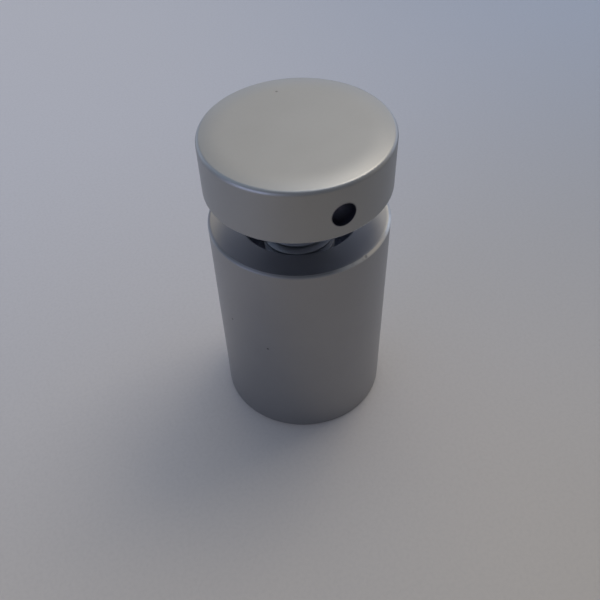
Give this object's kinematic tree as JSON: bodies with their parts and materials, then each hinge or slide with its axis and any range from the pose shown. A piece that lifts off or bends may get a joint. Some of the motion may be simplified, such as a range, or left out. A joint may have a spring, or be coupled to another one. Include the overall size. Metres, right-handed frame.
{
  "type": "glass panel standoff",
  "caption": "Round standoff that clamps a glass panel between its barrel and a cap on a threaded stud.",
  "frame": {"origin": "centre of the barrel's wall face, which is the lowest point", "axes": "+Z along the common axis of barrel, stud and cap, away from the wall; the tommy bar hole in the cap faces -Y"},
  "size_m": [0.03, 0.03, 0.0561],
  "materials": {
    "anodised_barrel": "satin anodised",
    "plated_steel": "zinc plated",
    "anodised_cap": "satin anodised"
  },
  "bodies": {
    "barrel": {"barrel": "anodised_barrel"},
    "stud": {"stud": "plated_steel"},
    "cap": {"cap": "anodised_cap"}
  },
  "joints": [
    {"name": "stud_travel", "type": "slide", "parent": "barrel", "child": "stud", "axis": [0, 0, 1], "range_m": [-0.0063, 0.0065]},
    {"name": "cap_turn", "type": "hinge", "parent": "stud", "child": "cap", "pos_m": [0, 0, 0.0466], "axis": [0, 0, 1], "range_deg": [-1296, 1337.2]}
  ],
  "couplings": [
    {"joint": "cap_turn", "follows": "stud_travel", "rad_per_m": 3590.4}
  ]
}
